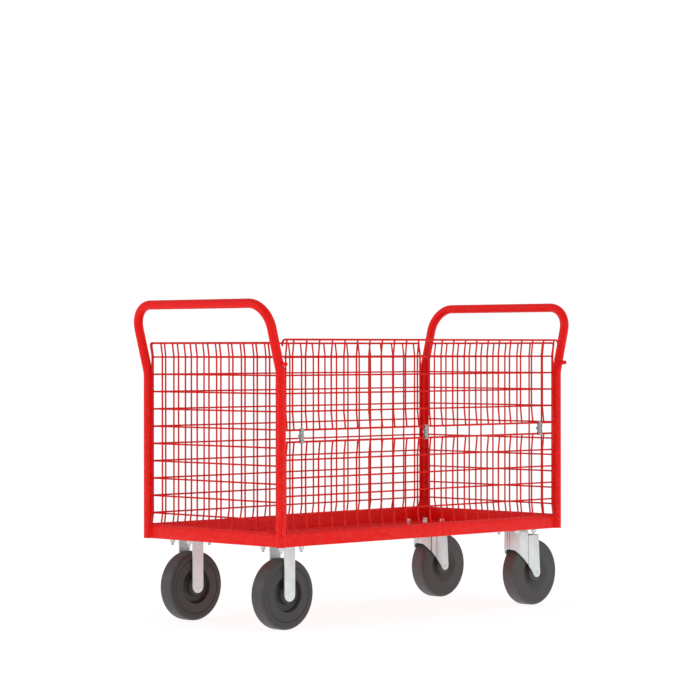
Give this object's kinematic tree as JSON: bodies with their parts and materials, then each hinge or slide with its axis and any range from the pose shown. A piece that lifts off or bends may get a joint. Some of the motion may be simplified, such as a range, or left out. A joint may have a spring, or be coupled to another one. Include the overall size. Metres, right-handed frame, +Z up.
{
  "type": "platform truck",
  "caption": "Platform truck with wire-mesh sides all round, a fold-down upper gate on one long side, a leaning push handle at each end, and fixed and swivel castors.",
  "frame": {"origin": "middle of the truck's outline, on the floor under the wheels", "axes": "+X along the truck toward the swivel castors, +Z up, the gate on the -Y side"},
  "size_m": [1.2991, 0.6005, 0.9235],
  "materials": {
    "red_frame": "smooth gloss powder coat",
    "red_wire": "powder coated wire",
    "zinc": "bright zinc plated pressed steel",
    "bearing_steel": "plain turned steel",
    "tyre_rubber": "dark solid rubber",
    "wheel_plastic": "moulded dark plastic"
  },
  "bodies": {
    "chassis": {"frame_front": "red_frame", "frame_back": "red_frame", "frame_left": "red_frame", "frame_right": "red_frame", "deck_plate": "red_frame", "cross_bars": "red_frame", "castor_pads": "red_frame", "hoop_left": "red_frame", "hoop_right": "red_frame", "gate_pegs": "red_frame", "mesh_left": "red_wire", "mesh_right": "red_wire", "mesh_back": "red_wire", "mesh_front_lower": "red_wire", "clip_fronts": "zinc", "clip_backs": "zinc", "clip_bolts": "zinc", "clip_nuts": "zinc", "castor_bolts": "zinc", "castor_nuts": "zinc", "castor_washers": "zinc", "fixed_fork_front": "zinc", "fixed_fork_back": "zinc", "fixed_axles": "zinc", "fixed_spacers": "bearing_steel", "swivel_plate_front": "zinc", "swivel_plate_back": "zinc", "kingpins": "zinc", "swivel_balls": "zinc"},
    "wheel_left_front": {"tyre_left_front": "tyre_rubber", "wheel_left_front": "wheel_plastic", "bush_left_front": "bearing_steel"},
    "wheel_left_back": {"tyre_left_back": "tyre_rubber", "wheel_left_back": "wheel_plastic", "bush_left_back": "bearing_steel"},
    "wheel_right_front": {"tyre_right_front": "tyre_rubber", "wheel_right_front": "wheel_plastic", "bush_right_front": "bearing_steel"},
    "wheel_right_back": {"tyre_right_back": "tyre_rubber", "wheel_right_back": "wheel_plastic", "bush_right_back": "bearing_steel"},
    "swivel_front": {"swivel_fork_front": "zinc", "swivel_axle_front": "zinc", "swivel_spacer_front": "bearing_steel"},
    "swivel_back": {"swivel_fork_back": "zinc", "swivel_axle_back": "zinc", "swivel_spacer_back": "bearing_steel"},
    "gate": {"mesh_gate": "red_wire"}
  },
  "joints": [
    {"name": "spin_left_front", "type": "hinge", "parent": "chassis", "child": "wheel_left_front", "pos_m": [-0.49544, -0.18322, 0.1], "axis": [0, 1, 0], "continuous": true},
    {"name": "spin_left_back", "type": "hinge", "parent": "chassis", "child": "wheel_left_back", "pos_m": [-0.49544, 0.19978, 0.1], "axis": [0, 1, 0], "continuous": true},
    {"name": "spin_right_front", "type": "hinge", "parent": "swivel_front", "child": "wheel_right_front", "pos_m": [0.54956, -0.18322, 0.1], "axis": [0, 1, 0], "continuous": true},
    {"name": "spin_right_back", "type": "hinge", "parent": "swivel_back", "child": "wheel_right_back", "pos_m": [0.54956, 0.19978, 0.1], "axis": [0, 1, 0], "continuous": true},
    {"name": "swivel_front", "type": "hinge", "parent": "chassis", "child": "swivel_front", "pos_m": [0.49056, -0.18322, 0.2], "axis": [0, 0, 1], "continuous": true},
    {"name": "swivel_back", "type": "hinge", "parent": "chassis", "child": "swivel_back", "pos_m": [0.49056, 0.19978, 0.2], "axis": [0, 0, 1], "continuous": true},
    {"name": "gate_fold", "type": "hinge", "parent": "chassis", "child": "gate", "pos_m": [0, -0.27572, 0.56], "axis": [1, 0, 0], "range_deg": [0, 175]}
  ]
}
